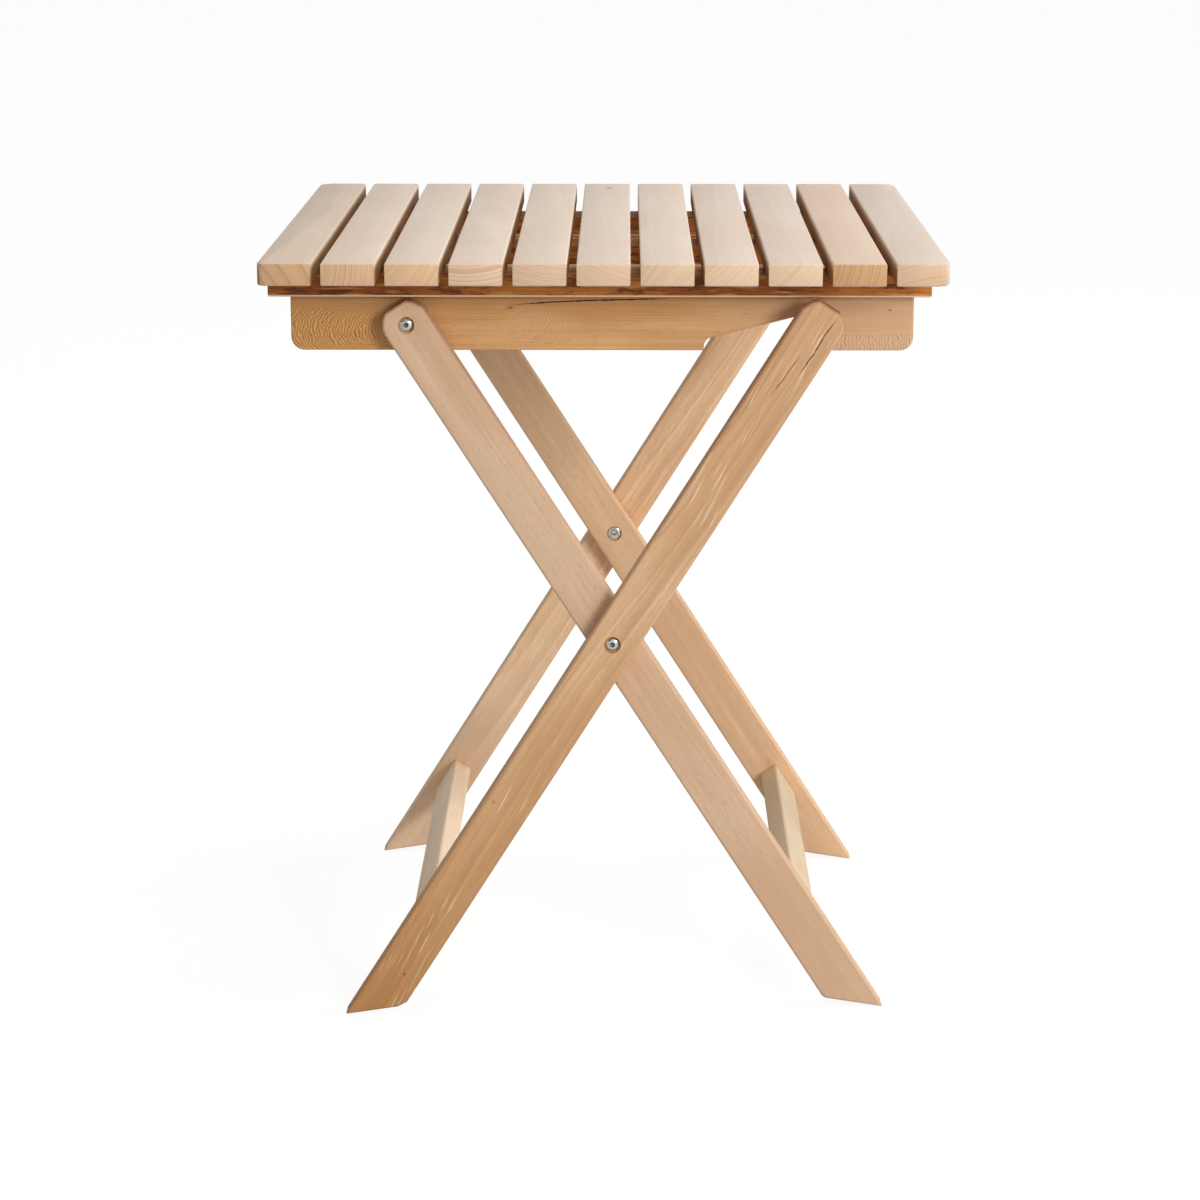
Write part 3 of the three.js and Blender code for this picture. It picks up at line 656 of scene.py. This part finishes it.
STEEL_EASE = 0.0002
CRISP = math.radians(40)            # steel edges sharper than this look crisp
# A recess's walls and floor are painted darker than the plating, as shade.
RECESS = 1                          # the material slot of a recess's walls and floor


def add_ring(mesh, radius_at, height):
    """A loop of points round the axis; height is a number or a function of the radius."""
    points = []
    for step in range(ROUND):
        angle = 2 * math.pi * step / ROUND
        radius = radius_at(angle)
        up = height(radius) if callable(height) else height
        points.append(mesh.verts.new((radius * math.cos(angle), radius * math.sin(angle), up)))
    return points


def circle(radius):
    """A ring's radius at any angle, for add_ring."""
    return lambda angle: radius


def join_rings(mesh, rings, material=0):
    for lower, upper in zip(rings, rings[1:]):
        for step in range(ROUND):
            after = (step + 1) % ROUND
            face = mesh.faces.new((lower[step], lower[after], upper[after], upper[step]))
            face.material_index = material


def hexagon(flat):
    """A ring's radius round a hexagon with slightly blunted corners."""
    def radius(angle):
        turned = (angle + math.pi / 6) % (math.pi / 3) - math.pi / 6
        return min(flat / math.cos(turned), flat * 1.12)
    return radius


def cross(outer, inner):
    """A ring's radius round a cross with four rounded arms."""
    def radius(angle):
        return inner + (outer - inner) * abs(math.cos(2 * angle)) ** 8
    return radius


def domed_head(head, recess, depth, shank, length):
    """A domed screw from its recess to its shank's end, as one closed mesh along +Z."""
    mesh = bmesh.new()
    radius, rim, top = head["radius"], head["rim"], head["height"]
    ease = head["round_over"]

    def dome(r):
        return rim + (top - rim) * math.sqrt(max(0.0, 1 - (r / radius) ** 2))

    rings = [add_ring(mesh, circle(r), h) for r, h in (
        (shank, -length), (shank, 0.0), (radius - ease, 0.0), (radius, ease))]
    for share in (0.995, 0.97, 0.92, 0.84, 0.74, 0.62, 0.52):
        rings.append(add_ring(mesh, circle(radius * share), dome))
    rings.append(add_ring(mesh, lambda a: recess(a) * 1.10, dome))
    rings.append(add_ring(mesh, recess, lambda r: dome(r) - ease))
    floor = top - depth
    rings.append(add_ring(mesh, recess, floor))
    rings.append(add_ring(mesh, lambda a: recess(a) * 0.5, floor - POINT_DEPTH))
    join_rings(mesh, rings[:-2])
    join_rings(mesh, rings[-3:], RECESS)
    mesh.faces.new(rings[-1]).material_index = RECESS
    mesh.faces.new(reversed(rings[0]))
    return mesh


def lathe(profile):
    """A closed profile of (radius, height) pairs turned round +Z, as one closed mesh."""
    mesh = bmesh.new()
    rings = [add_ring(mesh, circle(radius), height) for radius, height in profile]
    join_rings(mesh, rings + rings[:1])
    return mesh


def sleeve_nut(sleeve_end):
    """A flanged nut whose sleeve reaches back over the bolt's shank."""
    wide = BOLT_SHANK + SHANK_PLAY
    bore = SLEEVE_BORE
    rim = BOLT_HEAD["radius"]
    top = NUT_FLANGE
    return lathe((
        (wide, -sleeve_end), (wide, BORE_STEP[0]), (bore, BORE_STEP[1]), (bore, top - BORE_EASE),
        (bore + BORE_EASE, top), (rim - NUT_EASE, top), (rim - NUT_EASE * 0.3, top - NUT_EASE * 0.3),
        (rim, top - NUT_EASE), (rim, 0.0), (SLEEVE_RADIUS, 0.0), (SLEEVE_RADIUS, -sleeve_end),
    ))


def washer(inner, outer, half):
    """A flat washer with eased outer edges; half is half its thickness."""
    ease = half * 0.5
    return lathe((
        (inner, half), (inner, -half), (outer - ease, -half), (outer, -half + ease),
        (outer, half - ease), (outer - ease, half),
    ))


def place_piece(name, meshes, places, steel, body):
    """One steel piece from closed meshes, each moved by its own matrix, which rides on a body."""
    data = bpy.data.meshes.new(name)
    whole = bmesh.new()
    for mesh, place in zip(meshes, places):
        part = bpy.data.meshes.new("part")
        mesh.to_mesh(part)
        part.transform(place)
        whole.from_mesh(part)
        bpy.data.meshes.remove(part)
    bmesh.ops.recalc_face_normals(whole, faces=whole.faces)
    whole.to_mesh(data)
    whole.free()
    data.polygons.foreach_set("use_smooth", [True] * len(data.polygons))
    for material in steel:
        data.materials.append(material)
    piece = bpy.data.objects.new(name, data)
    bpy.context.scene.collection.objects.link(piece)
    piece.modifiers.new("crisp", "EDGE_SPLIT").split_angle = CRISP
    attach(piece, body)
    return piece


def outward(centre, side):
    """The matrix that takes +Z to the outward direction on this side of the table."""
    return Matrix.Translation(centre) @ Matrix.Rotation(-side * math.pi / 2, 4, "X")


def y_span(node):
    """How near and how far from the middle of the table a node reaches, along Y."""
    low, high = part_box(node)
    near, far = sorted((abs(low.y), abs(high.y)))
    return near, far


def make_pivot(name, axis, place, side, steel):
    """The bolt, sleeve nut and washer of one pivot on one side, in place of the CAD's."""
    def on_axis(y):
        return Vector((axis.x, y, axis.z))

    bolt_inner, bolt_outer = y_span(f"{name}_bolt_{place}")
    seat = bolt_outer - BOLT_HEAD["height"]
    bolt = domed_head(BOLT_HEAD, hexagon(SOCKET_FLAT), SOCKET_DEPTH, BOLT_SHANK, seat - bolt_inner)
    piece = place_piece(f"{name}_button_bolt_{place}", [bolt],
                        [outward(on_axis(side * seat), side)], steel, "inner_frame")
    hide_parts(f"{name}_bolt_{place}")

    nut_inner, nut_outer = y_span(f"{name}_sleeve_nut_{place}")
    face = nut_inner + NUT_FLANGE
    piece = place_piece(f"{name}_barrel_nut_{place}", [sleeve_nut(nut_outer - face)],
                        [outward(on_axis(side * face), -side)], steel, "inner_frame")
    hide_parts(f"{name}_sleeve_nut_{place}")

    near, far = y_span(f"{name}_washer_{place}")
    ring = washer(SLEEVE_RADIUS + WASHER_PLAY, WASHER_RADIUS, (far - near) / 2)
    piece = place_piece(f"{name}_thrust_washer_{place}", [ring],
                        [outward(on_axis(middle(f"{name}_washer_{place}").y), side)],
                        steel, "inner_frame")
    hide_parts(f"{name}_washer_{place}")


def make_pivots(steel):
    for name, axis in (("crossing", CROSSING), ("top_pivot", TOP_PIVOT)):
        for place, side in SIDES.items():
            make_pivot(name, axis, place, side, steel)


def make_slat_screws(steel):
    """Three screws hold each slat from below. Over an apron they stand outside it."""
    for node in BATTENS:
        low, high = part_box(node)
        outer_edge = low.y if abs(low.y) > abs(high.y) else high.y
        on_edge = outer_edge - math.copysign(APRON_TO_SCREW, outer_edge)
        row_y = middle(node).y if node == "batten_middle" else on_edge
        screws = []
        places = []
        for slat in SLATS:
            screws.append(domed_head(SCREW_HEAD, cross(*SCREW_CROSS), SCREW_DEPTH, SCREW_SHANK,
                                     SCREW_LENGTH))
            spot = Vector((middle(slat).x, row_y, low.z - SCREW_STAND))
            places.append(Matrix.Translation(spot) @ Matrix.Rotation(math.pi, 4, "X"))
        place = node.removeprefix("batten_")
        place_piece(f"slat_screws_{place}", screws, places, steel, "tabletop")


def make_apron_screw_heads(steel):
    for node in frame["nodes"]:
        if node.startswith("apron_screw"):
            dress(node, steel[0], ease=STEEL_EASE)


# ---------------------------------------------------------------- stage, light, camera
FLOOR_HALF = 30.0
FLOOR_GLOW = 0.9
FLOOR_SHADE = 0.16          # what the eye sees of shadows on the floor
FLOOR_BOUNCE = 0.62         # what the floor gives back to the table
LIGHT_LEFT = 0.37
LIGHT_RIGHT = 0.58
LIGHT_IN_GLOSS = 0.66
FLAG_IN_GLOSS = 0.1
FLAG_TOWARDS = Vector((-0.47, -0.62, 0.59)).normalized()


def add_floor():
    """A pale floor: near white to the eye, and a plain light grey to the light it bounces."""
    half = FLOOR_HALF
    data = bpy.data.meshes.new("floor")
    corners = [(-half, -half, 0), (half, -half, 0), (half, half, 0), (-half, half, 0)]
    data.from_pydata(corners, [], [(0, 1, 2, 3)])
    floor = bpy.data.objects.new("floor", data)
    bpy.context.scene.collection.objects.link(floor)
    material, graph = new_material("studio_floor")
    seen = graph.node("ShaderNodeLightPath").outputs["Is Camera Ray"]
    shade = graph.node("ShaderNodeBsdfDiffuse", {"Color": (FLOOR_SHADE,) * 3})
    glow = graph.node("ShaderNodeEmission", {"Color": (1, 1, 1), "Strength": FLOOR_GLOW})
    bright = graph.node("ShaderNodeAddShader", {0: shade.outputs[0], 1: glow.outputs[0]})
    bounce = graph.node("ShaderNodeBsdfDiffuse", {"Color": (FLOOR_BOUNCE,) * 3})
    mixed = graph.node("ShaderNodeMixShader", {0: seen, 1: bounce.outputs[0], 2: bright.outputs[0]})
    output = graph.node("ShaderNodeOutputMaterial")
    graph.put(output.inputs[0], mixed.outputs[0])
    data.materials.append(material)


def add_world():
    """White to the eye, softer light from the left than the right, and one dark flag in gloss."""
    world = bpy.data.worlds.new("studio")
    world.use_nodes = True
    graph = Graph(world.node_tree)
    towards = graph.node("ShaderNodeTexCoord").outputs["Generated"]
    side = graph.band(graph.split(towards)[0], -0.8, 0.8)
    soft = graph.level(side, LIGHT_LEFT, LIGHT_RIGHT)
    flag = graph.vector("DOT_PRODUCT", towards, FLAG_TOWARDS, out=1)
    gloss = graph.level(graph.band(flag, 0.86, 0.95), LIGHT_IN_GLOSS, FLAG_IN_GLOSS)
    path = graph.node("ShaderNodeLightPath")
    strength = graph.mix(path.outputs["Is Glossy Ray"], soft, gloss)
    strength = graph.mix(path.outputs["Is Camera Ray"], strength, (1, 1, 1))
    light = graph.node("ShaderNodeBackground", {"Color": strength, "Strength": 1.0})
    output = graph.node("ShaderNodeOutputWorld")
    graph.put(output.inputs[0], light.outputs[0])
    bpy.context.scene.world = world


def add_softbox(name, place, target, size, power):
    """A round white lamp, size metres wide, that faces its target."""
    lamp = bpy.data.lights.new(name, "AREA")
    lamp.shape = "DISK"
    lamp.size = size
    lamp.energy = power
    obj = bpy.data.objects.new(name, lamp)
    obj.location = place
    obj.rotation_euler = (Vector(target) - Vector(place)).to_track_quat("-Z", "Y").to_euler()
    bpy.context.scene.collection.objects.link(obj)


def add_camera():
    """A long lens from in front and a little above the top, looking slightly down."""
    lens = 92.7
    distance = 2.980
    height = 1.1008
    tilt_down = 0.2495
    turn = 0.008
    aside = -0.0054
    camera = bpy.data.cameras.new("camera")
    camera.lens = lens
    camera.sensor_width = 36
    obj = bpy.data.objects.new("camera", camera)
    obj.location = (aside + distance * math.sin(turn), -distance * math.cos(turn), height)
    obj.rotation_euler = (math.pi / 2 - tilt_down, 0.0, turn)
    bpy.context.scene.collection.objects.link(obj)
    bpy.context.scene.camera = obj


make_top_wood()
make_leg_wood()
# The second zinc is darker and duller: painted shade for the recesses in the heads.
STEEL = (zinc("zinc_plate", (238, 240, 236), (216, 220, 220), 0.1),
         zinc("zinc_shaded_recess", (120, 118, 112), (84, 82, 80), 0.4))
make_pivots(STEEL)
make_slat_screws(STEEL)
make_apron_screw_heads(STEEL)
add_floor()
add_world()
add_softbox("overhead", (0.9, 0.0, 3.2), (0, 0, 0.6), 1.5, 31)
add_softbox("front", (2.7, -4.9, 2.0), (0, 0, 0.4), 1.5, 137)
add_softbox("right", (4.0, 1.2, 1.7), (0, 0, 0.3), 2.0, 52)
add_camera()
bpy.context.scene.view_settings.view_transform = "Standard"
